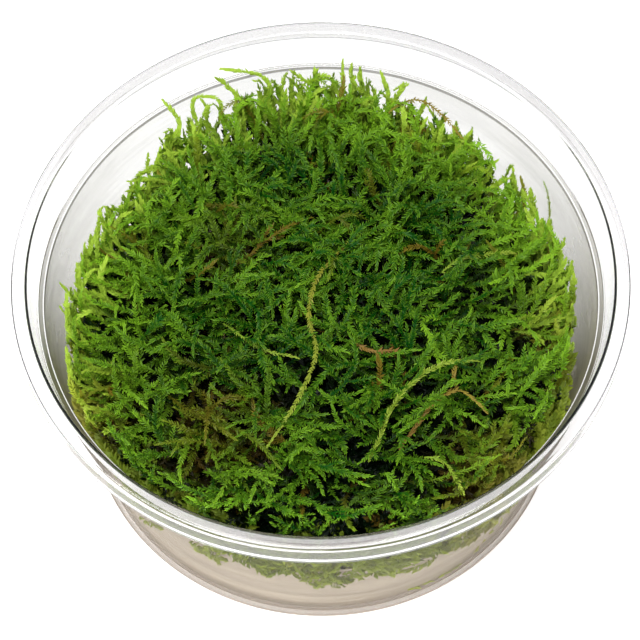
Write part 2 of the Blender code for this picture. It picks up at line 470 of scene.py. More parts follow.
def crown_grid():
    """Heights of the CAD clump's top on a square grid, looked up from above."""
    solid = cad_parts["moss"].data
    lookup = BVHTree.FromPolygons([v.co for v in solid.vertices], [p.vertices for p in solid.polygons])
    size = 2 * GRID_HALF + 1
    heights = np.zeros((size, size))
    for i in range(size):
        for j in range(size):
            x, y = (i - GRID_HALF) * GRID_STEP, (j - GRID_HALF) * GRID_STEP
            radius = math.hypot(x, y)
            if radius > MOSS_REACH:
                x, y = x * MOSS_REACH / radius, y * MOSS_REACH / radius
            heights[i, j] = lookup.ray_cast(Vector((x, y, 1.0)), Vector((0, 0, -1)))[0].z
    return heights


CROWN = crown_grid()


def crown_height(x, y):
    """The top's height at many places at once, between the grid's points."""
    u = np.clip(x / GRID_STEP + GRID_HALF, 0, 2 * GRID_HALF - 1.001)
    v = np.clip(y / GRID_STEP + GRID_HALF, 0, 2 * GRID_HALF - 1.001)
    i, j = u.astype(int), v.astype(int)
    fu, fv = u - i, v - j
    low = CROWN[i, j] * (1 - fu) + CROWN[i + 1, j] * fu
    high = CROWN[i, j + 1] * (1 - fu) + CROWN[i + 1, j + 1] * fu
    return low * (1 - fv) + high * fv


print("crown heights, mm:", round(CROWN.min() / MM, 1), "to", round(CROWN.max() / MM, 1))

# %% [markdown]
# ## Two limits: the clump's outline and the cup's wall
#
# Seen from above the clump isn't round. It touches the wall at the front and leaves a gap at the back
# and the sides. A ring of twelve radii, one every 30 degrees, gives that outline, and the wall gives the
# other limit, which grows with the height because the cup is a cone.

# %% The clump's outline and the wall's inner radius
WALL = 0.9 * MM
BASE_RADIUS = 40.1 * MM
LEDGE_RADIUS = 46.5 * MM
LEDGE_HEIGHT = 39.4 * MM
# the outline's radii in mm, from +X round by +Y
BODY_EDGE = (40.0, 37.2, 37.5, 40.5, 37.5, 36.5, 39.5, 43.0, 43.5, 43.5, 43.5, 42.5)


def body_edge(angle):
    """The clump's radius in a direction, smoothly between the twelve values."""
    turns = (angle % (2 * math.pi)) / (2 * math.pi) * len(BODY_EDGE)
    first = turns.astype(int) % len(BODY_EDGE)
    part = turns - np.floor(turns)
    smooth = part * part * (3 - 2 * part)
    edge = np.array(BODY_EDGE)
    return (edge[first] * (1 - smooth) + edge[(first + 1) % len(BODY_EDGE)] * smooth) * MM


def wall_inner(z):
    """Inner radius of the cup's sloping wall, which goes on as the wider collar above the ledge."""
    return BASE_RADIUS + (LEDGE_RADIUS - BASE_RADIUS) * np.minimum(z / LEDGE_HEIGHT, 1.0) - WALL


angles = np.linspace(0.0, 2 * math.pi, 360)
print("outline, mm:", round(body_edge(angles).min() / MM, 1), "to", round(body_edge(angles).max() / MM, 1))


# %% [markdown]
# ## One step at a time
#
# `grow` walks all the shoots of a batch at once. At every step a shoot turns a little about the vertical
# (its curl), wanders, is drawn towards its own height above or below the clump's top, and near a limit
# loses its outward motion and rises instead, as a shoot does when it meets the wall.

# %% Growing
UP = np.array([0.0, 0.0, 1.0])
CEILING = 44.6 * MM  # a lid would lie just above this
WALL_GAP = 0.9 * MM  # between a shoot's centre-line and the wall


def unit(v):
    return v / np.maximum(np.linalg.norm(v, axis=-1, keepdims=True), 1e-12)


def round_the_axis(angle):
    """Horizontal unit vectors at these angles from +X."""
    return np.stack([np.cos(angle), np.sin(angle), np.zeros_like(angle)], axis=1)


def turn_about(v, axis, angle):
    """Turns many vectors about many unit axes."""
    c, s = np.cos(angle)[:, None], np.sin(angle)[:, None]
    return v * c + np.cross(axis, v) * s + axis * (np.sum(axis * v, axis=1, keepdims=True)) * (1 - c)


def grow(rng, starts, headings, lengths, steps, curl, wander, stand, pull, overhang=0.0):
    """Centre-lines, as an array of shoots x points x 3.

    curl: turn in radians along the whole shoot; stand: height above the crown that it is drawn to;
    pull: how strongly, per step; overhang: how far past the outline it may reach.
    """
    place = starts.copy()
    heading = unit(headings)
    line = [place.copy()]
    for _ in range(steps):
        axis = unit(UP + rng.normal(0.0, 0.25, place.shape))
        heading = turn_about(heading, axis, curl / steps)
        heading = unit(heading + rng.normal(0.0, wander, place.shape))
        wanted = crown_height(place[:, 0], place[:, 1]) + stand
        heading[:, 2] += pull * np.clip((wanted - place[:, 2]) / (3.0 * MM), -1.0, 1.0)
        angle = np.arctan2(place[:, 1], place[:, 0])
        outwards = round_the_axis(angle)
        limit = np.minimum(body_edge(angle) + overhang, wall_inner(place[:, 2]) - WALL_GAP)
        near = np.clip(1.0 - (limit - np.hypot(place[:, 0], place[:, 1])) / (2.5 * MM), 0.0, 1.0)
        leaving = np.maximum(np.sum(heading * outwards, axis=1), 0.0) * near
        heading -= outwards * leaving[:, None]
        heading[:, 2] += 0.4 * leaving
        heading[:, 2] -= np.clip((place[:, 2] - CEILING) / MM + 1.5, 0.0, 1.5) * 0.5
        heading = unit(heading)
        place = place + heading * (lengths / steps)[:, None]
        place[:, 2] = np.minimum(place[:, 2], CEILING)
        radius = np.hypot(place[:, 0], place[:, 1])
        place[:, :2] *= np.minimum(1.0, limit / np.maximum(radius, 1e-9))[:, None]
        line.append(place.copy())
    return np.stack(line, axis=1)


print("a batch of 500 shoots of 8 steps is an array of", (500, 9, 3))

# %% [markdown]
# ## Side shoots
#
# A moss shoot branches like a feather, to the left and to the right in turn. Each side shoot starts on
# its parent, leaves it at 30 to 55 degrees, and bends back to run nearly beside it.


# %% Branching
BRANCH_STEPS = 4
BRANCH_SHARE = 0.42  # of the length that its parent still has ahead


def branches(rng, parents, lengths, fraction, side):
    """Side shoots that leave each parent at about this fraction of its length."""
    count, points = parents.shape[:2]
    at = np.clip(np.round(fraction * (points - 1)).astype(int), 1, points - 2)
    rows = np.arange(count)
    starts = parents[rows, at]
    ahead = unit(parents[rows, at + 1] - parents[rows, at - 1])
    axis = unit(UP + rng.normal(0.0, 0.35, (count, 3)))
    heading = turn_about(ahead, axis, side * rng.uniform(0.5, 0.95, count))
    heading[:, 2] += rng.normal(0.0, 0.15, count)
    left = lengths * (1.0 - at / (points - 1))
    own = np.clip(left * BRANCH_SHARE * rng.uniform(0.7, 1.5, count), 1.2 * MM, 4.5 * MM)
    curl = -side * rng.uniform(0.1, 0.7, count)
    return grow(rng, starts, heading, own, BRANCH_STEPS, curl, 0.06, np.full(count, 0.6 * MM), 0.03)


# %% [markdown]
# ## Painted light, age and painted shade
#
# In the middle of the clump the shoots are deep green. Towards the back and the two sides they are paler and
# yellow-green: partly their own colour where they stand more freely, partly painted backlight, which is
# weakest at the front. A few old patches have gone olive and brown. `dress` gives each shoot those values,
# and darkens each point as painted shade by how far it lies below the top.

# %% Where the clump is pale and where it has turned brown
PALE_FROM = 23.0 * MM  # inside this radius no shoot gets painted backlight
PALE_SPAN = 13.0 * MM
SHADE_PER_MM = 0.30
AGED_PATCHES = [  # centre x, y and radius in mm, and how brown
    (-17.0, -24.0, 8.0, 0.55),
    (27.0, -32.0, 8.0, 0.60),
    (-38.0, -19.0, 6.0, 0.60),
    (-15.0, 9.0, 5.0, 0.45),
    (38.0, -6.0, 5.0, 0.35),
]


def aged(x, y):
    found = np.zeros_like(x)
    for cx, cy, radius, brown in AGED_PATCHES:
        near = np.exp(-((x / MM - cx) ** 2 + (y / MM - cy) ** 2) / (2 * (radius * 0.6) ** 2))
        found = np.maximum(found, brown * near)
    return found


def painted_backlight(x, y):
    """Painted backlight: 0 where shoots stand close, up to 1 at the back, the left and the right edge."""
    radius = np.hypot(x, y)
    sideways = 0.30 + 0.70 * np.clip(0.90 + 1.2 * y / np.maximum(radius, 1e-9), 0.0, 1.0)
    return np.clip((radius - PALE_FROM) / PALE_SPAN, 0.0, 1.0) * sideways


def dress(rng, lines, tint, depth, brown_share=0.025, size=1.0, spread=0.13):
    """Adds the attributes that the tree and the materials read to a batch of centre-lines."""
    count, points = lines.shape[:2]
    middle = lines[:, points // 2]
    # paler by painted backlight, strongest at the back and the sides
    own_tint = tint + 0.66 * painted_backlight(middle[:, 0], middle[:, 1]) + rng.normal(0.0, spread, count)
    age = aged(middle[:, 0], middle[:, 1]) * rng.uniform(0.3, 1.3, count)
    age = np.maximum(age, (rng.random(count) < brown_share) * rng.uniform(0.3, 0.9, count))
    # painted shade: each point is darker the farther it lies below the crown's top
    below = crown_height(lines[:, :, 0], lines[:, :, 1]) - lines[:, :, 2]
    own_shade = depth + SHADE_PER_MM * np.maximum(below / MM, 0.0) + rng.normal(0.0, 0.06, (count, 1))
    return {
        "points": lines,
        "along": np.linspace(0.0, 1.0, points)[None, :],
        "tint": np.clip(own_tint, 0.0, 1.0)[:, None],
        "age": np.clip(age, 0.0, 1.0)[:, None],
        "depth": np.clip(own_shade, 0.0, 1.0),
        "size": (size * rng.uniform(0.85, 1.15, count))[:, None],
    }


print("light at the back edge:", painted_backlight(np.array([0.0]), np.array([38.0 * MM])))

# %% [markdown]
# ## The crown
#
# The crown is what you see first: two layers of shoots over each other. They start below the top, come
# up through it and lie over their neighbours, mostly across the cup in the middle and leaning outwards
# near the edge. One mesh would be too heavy to handle, so it is kept as four sectors.


# %% The crown's layers
def scatter_body(rng, count, inset):
    """Places spread evenly over the clump's outline, kept `inset` from its edge."""
    angle = rng.uniform(0.0, 2 * math.pi, count)
    radius = np.sqrt(rng.random(count)) * (body_edge(angle) - inset)
    return radius * np.cos(angle), radius * np.sin(angle)


CROWN_INSET = 5.5 * MM


def crown_layer(rng, count, sink, stand, tint, depth, reach, arm_count=0, steps=8, overhang=0.0):
    """Shoots that start `sink` below the top and are drawn to `stand` above it, with side shoots.

    reach: their shortest and longest length, in mm.
    """
    x, y = scatter_body(rng, count, CROWN_INSET)
    starts = np.stack([x, y, crown_height(x, y) - sink * rng.uniform(0.5, 1.3, count)], axis=1)
    radius = np.hypot(x, y)
    outwards = starts * (1.0, 1.0, 0.0) / np.maximum(radius, 1e-9)[:, None]
    across = round_the_axis(rng.uniform(0.0, 2 * math.pi, count)) * (1.0, 0.6, 0.0)
    lean = np.clip(radius / (38.0 * MM), 0.0, 1.1)[:, None]
    rising = np.clip(y / (30.0 * MM), 0.0, 1.2)  # the back stands up more than the rest
    heading = outwards * lean + unit(across)
    heading[:, 2] += rng.uniform(0.05, 0.40, count) + 0.6 * rising
    lengths = rng.uniform(*reach, count) * MM
    heights = stand + rng.uniform(-1.3, 0.5, count) * MM + 1.6 * rising * MM
    curl = rng.normal(0.0, 1.1, count)
    lines = grow(rng, starts, heading, lengths, steps, curl, 0.05, heights, 0.15, overhang)
    batches = [dress(rng, lines, tint, depth)]
    for k in range(arm_count):
        keep = rng.random(count) < 0.7
        fraction = 0.30 + 0.22 * k + rng.uniform(-0.08, 0.08, count)
        side = np.where((np.arange(count) + k) % 2 == 0, 1.0, -1.0)
        arms = branches(rng, lines[keep], lengths[keep], fraction[keep], side[keep])
        arm_batch = dress(rng, arms, tint, depth, size=0.88)
        for key in ("tint", "age"):
            arm_batch[key] = batches[0][key][keep]
        batches.append(arm_batch)
    return batches


def sector_of(batch, number, of):
    """The shoots of a batch whose first point lies in one of several equal sectors round the axis."""
    start = batch["points"][:, 0]
    angle = np.arctan2(start[:, 1], start[:, 0]) % (2 * math.pi)
    keep = (angle * of / (2 * math.pi)).astype(int) == number
    chosen = {"points": batch["points"][keep], "along": batch["along"]}
    for key in ("tint", "age", "depth", "size"):
        chosen[key] = batch[key][keep]
    return chosen


CROWN_SECTORS = ("right", "back", "left", "front")
crown_rng = np.random.default_rng(11)
crown = crown_layer(
    crown_rng, 430, sink=2.4 * MM, stand=0.9 * MM, tint=0.02, depth=0.0,
    reach=(11.0, 18.0), arm_count=2, steps=10,
)  # fmt: skip
# the second layer starts with painted shade, and the lower crown with more
crown += crown_layer(
    crown_rng, 720, sink=4.5 * MM, stand=-1.4 * MM, tint=0.0, depth=0.18, reach=(8.0, 14.0), arm_count=1
)
lower_crown = crown_layer(
    crown_rng, 620, sink=7.0 * MM, stand=-3.8 * MM, tint=0.0, depth=0.40, reach=(7.0, 11.0)
)
FINE = {"leaf_spacing": 0.215 * MM, "leaf_length": 0.90 * MM, "leaf_angle": 0.80, "leaf_width": 0.88}
moss_pieces = []
for number, side_name in enumerate(CROWN_SECTORS):
    part = [sector_of(batch, number, len(CROWN_SECTORS)) for batch in crown]
    name = f"moss_crown_{side_name}"
    moss_pieces.append(leafy_piece(name, part, moss_material, 20 + number, "moss_green", **FINE))
moss_pieces.append(
    leafy_piece("moss_lower_crown", lower_crown, moss_material, 25, "moss_green", leaf_spacing=0.4 * MM)
)

# %% [markdown]
# ## The understory
#
# Between the shoots of the crown you look down into the clump. It is dark there, so coarse shoots with
# fewer and larger leaves do, at several depths, down to the gel.

# %% The understory
under_rng = np.random.default_rng(12)
under = []
# the understory starts with painted shade, which grows with its sink below the crown
for sink, count in ((10.0, 420), (15.0, 330), (20.0, 260)):
    under += crown_layer(
        under_rng, count, sink * MM, (4.0 - sink) * MM, 0.0, 0.25, (6.0, 12.0), steps=5, overhang=-3.5 * MM
    )
COARSE = {"leaf_spacing": 0.5 * MM, "leaf_length": 2.0 * MM}
moss_pieces.append(leafy_piece("moss_understory", under, moss_material, 31, "moss_green", **COARSE))


# %% [markdown]
# ## The mat on the gel
#
# Low in the clump nothing of a leaf's shape is seen, but a gap there would show the pale gel. A mat of broad
# leaves, painted dark as shade, closes it for few triangles.

# %% The mat on the gel
MAT_INSET = 9.0 * MM  # it stays this far inside the outline, so that it isn't seen through the wall


def mat_layer(rng, count):
    """Old shoots that lie on the gel in all directions and hide it from above."""
    x, y = scatter_body(rng, count, MAT_INSET)
    starts = np.stack([x, y, gel_high.z + rng.uniform(1.2, 4.0, count) * MM], axis=1)
    heading = round_the_axis(rng.uniform(0.0, 2 * math.pi, count))
    lengths = rng.uniform(8.0, 13.0, count) * MM
    curl = rng.normal(0.0, 0.8, count)
    lines = grow(rng, starts, heading, lengths, 4, curl, 0.03, np.zeros(count), 0.0, 3.0 * MM - MAT_INSET)
    lines[:, :, 2] = np.maximum(lines[:, :, 2], gel_high.z + 1.0 * MM)
    return [dress(rng, lines, 0.0, 0.4)]


mat_rng = np.random.default_rng(16)
BROAD = {"leaf_spacing": 0.8 * MM, "leaf_length": 3.0 * MM, "leaf_width": 1.7, "leaf_angle": 0.9}
moss_pieces.append(leafy_piece("moss_mat", mat_layer(mat_rng, 700), moss_material, 32, "moss_green", **BROAD))

# %% [markdown]
# ## The fringe
#
# Round the back and the two sides the clump ends in fingers: straight pale shoots with their leaves
# pressed to the stem, which point outwards and up. They are what gives the clump its outline against
# the clear wall.


# %% The fringe
def fringe_layer(rng, count, inside, tint):
    angle = rng.uniform(math.radians(-15), math.radians(215), count)
    radius = body_edge(angle) - rng.uniform(0.2, 1.0, count) * inside
    x, y = radius * np.cos(angle), radius * np.sin(angle)
    starts = np.stack([x, y, crown_height(x, y) - rng.uniform(0.5, 7.0, count) * MM], axis=1)
    heading = round_the_axis(angle) * 0.9 + rng.normal(0.0, 0.30, (count, 3))
    heading[:, 1] += 0.25
    heading[:, 2] += rng.uniform(0.3, 1.0, count)
    lengths = rng.uniform(5.5, 11.0, count) * MM
    curl = rng.normal(0.0, 0.9, count)
    stand = rng.uniform(0.5, 3.5, count) * MM
    lines = grow(rng, starts, heading, lengths, 7, curl, 0.05, stand, 0.05, 1.8 * MM)
    return [dress(rng, lines, tint, 0.0, brown_share=0.03)]


fringe_rng = np.random.default_rng(13)
fringe = fringe_layer(fringe_rng, 190, 4.0 * MM, 0.66) + fringe_layer(fringe_rng, 280, 9.0 * MM, 0.30)
FINGER = {"leaf_angle": 0.50, "leaf_spacing": 0.20 * MM, "leaf_length": 1.05 * MM, "leaf_width": 1.1}
moss_pieces.append(leafy_piece("moss_fringe", fringe, young_material, 41, "moss_green", **FINGER))

# %% [markdown]
# ## The flank
#
# Below the crown the clump fills the cup and presses on its wall, so that you see it through the milky
# plastic. At the front it ends in an uneven edge above the gel, with a few strands hanging lower. The
# edge is a list of heights by direction, and shoots are spread between it and the crown.

# %% The flank
HANG = [  # degrees from the front, positive to the right, and the height of the moss's lower edge in mm
    (-180, 15), (-110, 16), (-60, 23), (-40, 24), (-22, 22), (-16, 18), (-7, 18), (-1, 13), (2, 12),
    (6, 17), (12, 14), (20, 14), (27, 12), (37, 10), (50, 9), (90, 14), (180, 15),
]  # fmt: skip
FRONT = -math.pi / 2
FLANK_TOP = 33.0 * MM
STRANDS = [  # single shoots on the wall: (degrees from the front, height in mm) along each
    [(-52, 11), (-48, 12), (-43, 14.5)],
    [(-27, 25.5), (-28, 20), (-26, 15)],
    [(-33, 19), (-29, 17.5), (-24, 18.5)],
    [(17.5, 5.5), (22, 4), (27.5, 3.5), (37.5, 3.5)],
    [(37.5, 3.5), (42, 8), (45, 13)],
    [(46, 20), (48, 14), (47, 9)],
]


def lowest_moss(angle):
    """The height of the moss's lower edge along the wall, by direction round the axis, in metres."""
    from_front = (np.degrees(angle - FRONT) + 180.0) % 360.0 - 180.0
    places, heights = np.array(HANG, float).T
    return np.interp(from_front, places, heights) * MM


def flank_layer(rng, count, inset, tint, depth):
    angle = rng.uniform(0.0, 2 * math.pi, count)
    low = lowest_moss(angle) + rng.normal(0.6, 0.8, count) * MM
    z = low + (FLANK_TOP - low) * rng.random(count)
    reach = np.minimum(wall_inner(z), body_edge(angle) + 1.5 * MM)
    starts = round_the_axis(angle) * (reach - inset * rng.uniform(0.5, 1.5, count))[:, None]
    starts[:, 2] = z
    heading = round_the_axis(angle) * 0.3 + rng.normal(0.0, 0.6, (count, 3))
    lengths = rng.uniform(5.0, 9.0, count) * MM
    curl = rng.normal(0.0, 0.9, count)
    lines = grow(rng, starts, heading, lengths, 6, curl, 0.1, np.zeros(count), 0.0, 1.5 * MM)
    floor_z = np.maximum(lowest_moss(np.arctan2(lines[:, :, 1], lines[:, :, 0])), gel_high.z + 0.5 * MM)
    lines[:, :, 2] = np.maximum(lines[:, :, 2], floor_z)
    lines[:, :, 2] = np.minimum(lines[:, :, 2], FLANK_TOP + 1.0 * MM)
    batch = dress(rng, lines, tint, 0.0)
    shaded = np.clip((lines[:, :, 2] / MM - 27.0) / 6.0, 0.0, 1.0)  # the crown overhangs its upper part
    batch["depth"] = np.maximum(depth, 0.75 * shaded)
    return [batch]


def strand_batch(rng, corners):
    """One shoot that clings to the wall, through these directions and heights."""
    degrees, heights = np.array(corners, float).T
    fine = np.linspace(0, len(corners) - 1, 12)
    angle = np.radians(np.interp(fine, range(len(corners)), degrees)) + FRONT
    z = np.interp(fine, range(len(corners)), heights) * MM
    line = round_the_axis(angle) * (wall_inner(z) - WALL_GAP)[:, None]
    line[:, 2] = z
    batch = dress(rng, line[None], 0.35, 0.0, brown_share=0.0)
    batch["depth"] = np.full_like(batch["depth"], 0.1)
    return batch


flank_rng = np.random.default_rng(14)
flank = flank_layer(flank_rng, 800, 1.2 * MM, 0.10, 0.0)
# these shoots lie farther from the wall and start with painted shade
flank += flank_layer(flank_rng, 480, 3.0 * MM, 0.05, 0.35)
flank += [strand_batch(flank_rng, corners) for corners in STRANDS]
LOOSE = {"leaf_spacing": 0.36 * MM, "leaf_length": 1.4 * MM, "leaf_width": 1.5}
moss_pieces.append(leafy_piece("moss_flank", flank, pressed_material, 51, "moss_green", **LOOSE))

# %% [markdown]
# ## Sprigs on top
#
# A tangle looks real when the eye can follow single shoots across it. These lie on the crown where the
# light catches them: each is a short list of places, joined by a smooth curve, and its height comes from
# the crown below it.

# %% The sprigs on top
TOP_SPRIGS = [  # places along each, x and y in mm, to the nearest half
    [(-7, 11), (-5, 11.5), (-2, 11.5), (0, 10.5)],
    [(-6.5, 9.5), (-3, 9.5), (0, 9)],
    [(-15, 15), (-12.5, 16), (-10.5, 16.5)],
    [(-6, 12), (-5, 14.5), (-2.5, 15.5), (0.5, 16)],
    [(1.5, 15.5), (4.5, 16), (7, 16), (9, 14.5)],
    [(15.5, 15), (14, 12.5), (12.5, 11.5)],
    [(7, 6), (9.5, 7), (13, 7), (16, 7)],
    [(5.5, 0), (7.5, -1), (9, -2), (11.5, -4.5)],
    [(4.5, 27), (6.5, 25.5), (8, 23.5)],
    [(2.5, 18), (4.5, 20), (7, 22)],
    [(-3, 5), (-1, 6.5), (2.5, 8)],
    [(-1, 0), (1, 2), (2.5, 3.5)],
    [(6.5, 5), (6.5, 8.5), (6.5, 11.5)],
    [(-13, 4), (-11, 2.5), (-8.5, 0)],
    [(-15.5, 0), (-13, -0.5), (-10.5, -0.5)],
    [(3.5, -5.5), (5, -8), (6.5, -10.5)],
    [(1, -1.5), (1.5, -5.5), (3, -8.5)],
    [(24.5, -6), (27, -9.5), (28.5, -12.5), (30.5, -13.5)],
    [(20.5, 3.5), (23.5, 4.5), (26.5, 6), (31.5, 6.5)],
    [(-7, -27.5), (-4, -28.5), (-1, -31), (0, -33.5)],
    [(9, -33), (10.5, -34.5), (11.5, -35.5)],
]
PALE_FORK = [  # a pale shoot with three ends, in front and to the right of the middle
    [(20, -5.5), (17.5, -6), (16.5, -7), (17.5, -9.5), (18.5, -12.5), (19, -15.5)],
    [(18.5, -12.5), (17, -14), (15, -15)],
    [(18.5, -12.5), (19.5, -13.5), (20.5, -14)],
]
EDGE_SHOOT = [(38, 7.5), (38, 11.5), (38.5, 15), (38.5, 18.5), (38, 22.5)]  # leans out at the right


def smooth_line(corners, spacing=0.9):
    """Points along a Catmull-Rom curve through the corners, in mm."""
    c = np.array([corners[0], *corners, corners[-1]], float)
    points = []
    for i in range(len(corners) - 1):
        a, b, d, e = c[i : i + 4]
        for t in np.linspace(0.0, 1.0, max(2, round(np.linalg.norm(d - b) / spacing)), endpoint=False):
            bend = 2 * a - 5 * b + 4 * d - e + t * (3 * b - a - 3 * d + e)
            points.append(b + 0.5 * t * (d - a + t * bend))
    return np.array([*points, c[-1]])


def lying_batch(rng, corners, lift, dip, tint, ages=(0.0, 0.0), size=1.0):
    """One shoot over the crown: `lift` above it in the middle and `dip` lower at both ends.

    ages: how brown it is at its foot and at its tip.
    """
    flat = smooth_line(corners) * MM
    ends = np.abs(np.linspace(-1.0, 1.0, len(flat))) ** 3
    z = crown_height(flat[:, 0], flat[:, 1]) + lift - dip * ends
    line = np.column_stack([flat, z])[None]
    batch = dress(rng, line, 0.0, 0.0, size=size)
    batch["tint"] = np.full((1, 1), tint)
    batch["age"] = np.linspace(*ages, line.shape[1])[None, :]
    batch["depth"] = np.zeros(line.shape[:2])
    return batch


sprig_rng = np.random.default_rng(15)
sprigs = [lying_batch(sprig_rng, c, 1.7 * MM, 2.2 * MM, 0.30) for c in TOP_SPRIGS]
sprigs += [lying_batch(sprig_rng, c, 2.2 * MM, 1.0 * MM, 0.65) for c in PALE_FORK]
sprigs.append(lying_batch(sprig_rng, EDGE_SHOOT, 1.5 * MM, 1.0 * MM, 0.5, (0.7, 0.3), 0.6))
moss_pieces.append(leafy_piece("moss_top_sprigs", sprigs, moss_material, 55, "moss_green", **FINE))

# %% [markdown]
# ## The outline's own fingers
#
# Chance gives an even fringe, and a real clump is never even: some fingers stand far out, two bend over
# into loops, and gaps stay between them. So the outline's most striking shoots are placed one by one,
# each by a few places from its foot to its tip. Their heights follow a rule.

# %% Fingers and loops
FINGERS = [  # places along each, x and y in mm, to the nearest half
    [(-23.5, 30.5), (-23.5, 34), (-24.5, 35.5), (-26, 37)],
    [(-19, 34.5), (-18.5, 36), (-19.5, 37)],
    [(-13, 39), (-14.5, 40.5), (-16, 41.5), (-17, 41.5)],
    [(-8, 41.5), (-9.5, 43.5), (-12, 43.5), (-16, 43.5)],
    [(0, 41.5), (-2, 42), (-4, 42.5)],
    [(-22, 31), (-23.5, 29.5), (-25, 29)],
    [(-20, 28), (-22.5, 27.5), (-25.5, 26.5)],
    [(-23.5, 26), (-27, 24.5), (-29.5, 23.5), (-30.5, 22)],
    [(-25.5, 23.5), (-28.5, 22.5), (-31.5, 21)],
    [(-26.5, 22), (-29.5, 21), (-31, 20), (-32, 19)],
    [(-29.5, 19), (-32.5, 17.5), (-34, 16), (-35.5, 16)],
    [(-36, 10.5), (-35.5, 12), (-35, 13)],
    [(-38, 7), (-38, 8.5), (-37.5, 9.5)],
    [(-38, 5), (-38.5, 5), (-39, 5)],
    [(-40, -0.5), (-41.5, 0.5), (-42.5, 1)],
    [(-40.5, -4.5), (-41.5, -4), (-42.5, -3.5)],
    [(-3, 41), (-4.5, 42), (-5, 41.5)],
    [(4.5, 40), (4.5, 43), (4.5, 44.5)],
    [(6.5, 41.5), (6, 42.5), (6, 43.5)],
    [(8, 39.5), (7.5, 42), (7.5, 43)],
    [(12, 37), (12, 39.5), (11, 42)],
    [(10, 39), (9.5, 40), (9, 40)],
    [(17, 34.5), (18, 36), (18.5, 36.5)],
    [(29, 23.5), (28, 24.5), (27.5, 25)],
    [(36.5, 12), (36, 14), (35, 15)],
    [(37, 10), (37, 11), (37, 11.5)],
    [(33, 19.5), (31.5, 19.5), (31, 20)],
    [(26, 26.5), (25.5, 27), (25, 26.5)],
]
LOOPS = [
    [(-21, 36), (-21, 38), (-19.5, 38), (-17.5, 37.5), (-16.5, 36.5), (-16.5, 35), (-16, 33.5)],
    [(12.5, 36.5), (14, 38), (15, 39.5), (13.5, 40.5)],
]


def outline_batch(rng, corners, foot, rise, loop):
    """One shoot of the outline, in mm, that starts inside the clump and rises to its tip or its bend."""
    part = np.linspace(0.0, 1.0, len(corners))
    heights = foot + rise * (1.0 - (2.0 * part - 1.0) ** 2 if loop else part)
    points = [(x, y, z) for (x, y), z in zip(corners, heights)]
    root = (0.9 * points[0][0], 0.9 * points[0][1], foot - 3.0)
    batch = dress(rng, smooth_line([root, *points])[None] * MM, 0.55, 0.0, brown_share=0.0)
    batch["depth"] = np.zeros_like(batch["depth"])
    return batch


finger_rng = np.random.default_rng(17)
outline = [outline_batch(finger_rng, c, foot=39.5, rise=3.2, loop=False) for c in FINGERS]
outline += [outline_batch(finger_rng, c, foot=40.0, rise=3.0, loop=True) for c in LOOPS]
moss_pieces.append(leafy_piece("moss_fingers", outline, young_material, 56, "moss_green", **FINGER))
for piece in moss_pieces:
    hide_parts("moss")

# %% [markdown]
# ## The loose shoots
#
# Eight shoots lie on top, or stand out of the clump, and could be picked off with tweezers. The CAD model
# holds them as plain stems, and here each gets its leaves: pale yellow-green for the young ones and
# olive-brown for the old ones. Their routes are the ones that the CAD stems follow.

# %% The loose shoots
SHOOTS = {  # route in mm; the age at its foot and at its tip; the leaf angle; its lift in mm
    "long_shoot": (
        [(5, 9), (2, 5), (-1, 0), (-2, -6), (-1, -13), (-4, -21), (-9, -29)], (0.6, 0.05), 0.64, 2.7
    ),  # fmt: skip
    "forked_old_shoot": ([(12, -30), (15, -26), (18, -22), (22, -20), (26, -23)], (0.9, 0.2), 0.48, 2.7),
    "pale_front_shoot": (
        [(7, -32), (9, -28), (11, -23), (15, -18), (20, -15), (25, -14)], (0.1, 0.0), 0.60, 2.7
    ),  # fmt: skip
    "arching_back_shoot": ([(12, 33), (15, 35), (18, 35), (21, 32), (24, 28)], (0.20, 0.45), 0.80, 6.0),
    "left_shoot": ([(-16, -6), (-13, -9), (-9, -12), (-4, -13)], (0.0, 0.0), 0.62, 2.1),
    "right_shoot": ([(20, 3), (23, 5), (27, 6), (32, 7)], (0.0, 0.1), 0.62, 2.1),
    "short_brown_shoot": ([(5, -10), (8, -12), (13, -12)], (0.7, 0.9), 0.62, 1.8),
    "drooping_front_shoot": ([(16, -31), (19, -32), (21, -35), (22, -37)], (0.0, 0.05), 0.62, 2.1),
}
FORK_ARM = [(21.6, -19.6), (21.2, -17.3), (21.6, -15.5)]
OLD_SHOOTS = {"forked_old_shoot", "arching_back_shoot", "short_brown_shoot"}
SHOOT_DIP = 0.8 * MM


def loose_shoot(name, seed):
    corners, ages, leaf_angle, lift = SHOOTS[name]
    rng = np.random.default_rng(seed)
    batches = [lying_batch(rng, corners, lift * MM, SHOOT_DIP, 0.30, ages, 0.9)]
    if name == "forked_old_shoot":
        batches.append(lying_batch(rng, FORK_ARM, lift * MM, 0.0, 0.30, (0.6, 0.3), 0.9))
    old = name in OLD_SHOOTS
    material = old_material if old else pale_material
    slot = "old_shoot" if old else "pale_shoot"
    sizes = {"leaf_angle": leaf_angle, "leaf_length": 0.95 * MM, "leaf_width": 0.95}
    piece = leafy_piece(name + "_leafy", batches, material, seed, slot, **sizes)
    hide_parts(name)
    return piece


for number, name in enumerate(SHOOTS):
    loose_shoot(name, 60 + number)
bpy.data.objects.remove(leaf)

# %% [markdown]
# ## Turned pieces, by sweeping a profile round a circle
#
# The cup is one thin moulding and the gel was poured into it, so both are round about the cup's axis. A
# half-profile swept round a circle makes either of them. The tree merges the points that meet on the
# axis, and gives one material above a height and another below it.


# %% The turning tree
PATH_RADIUS = 0.03
TURNING_STEPS = 256


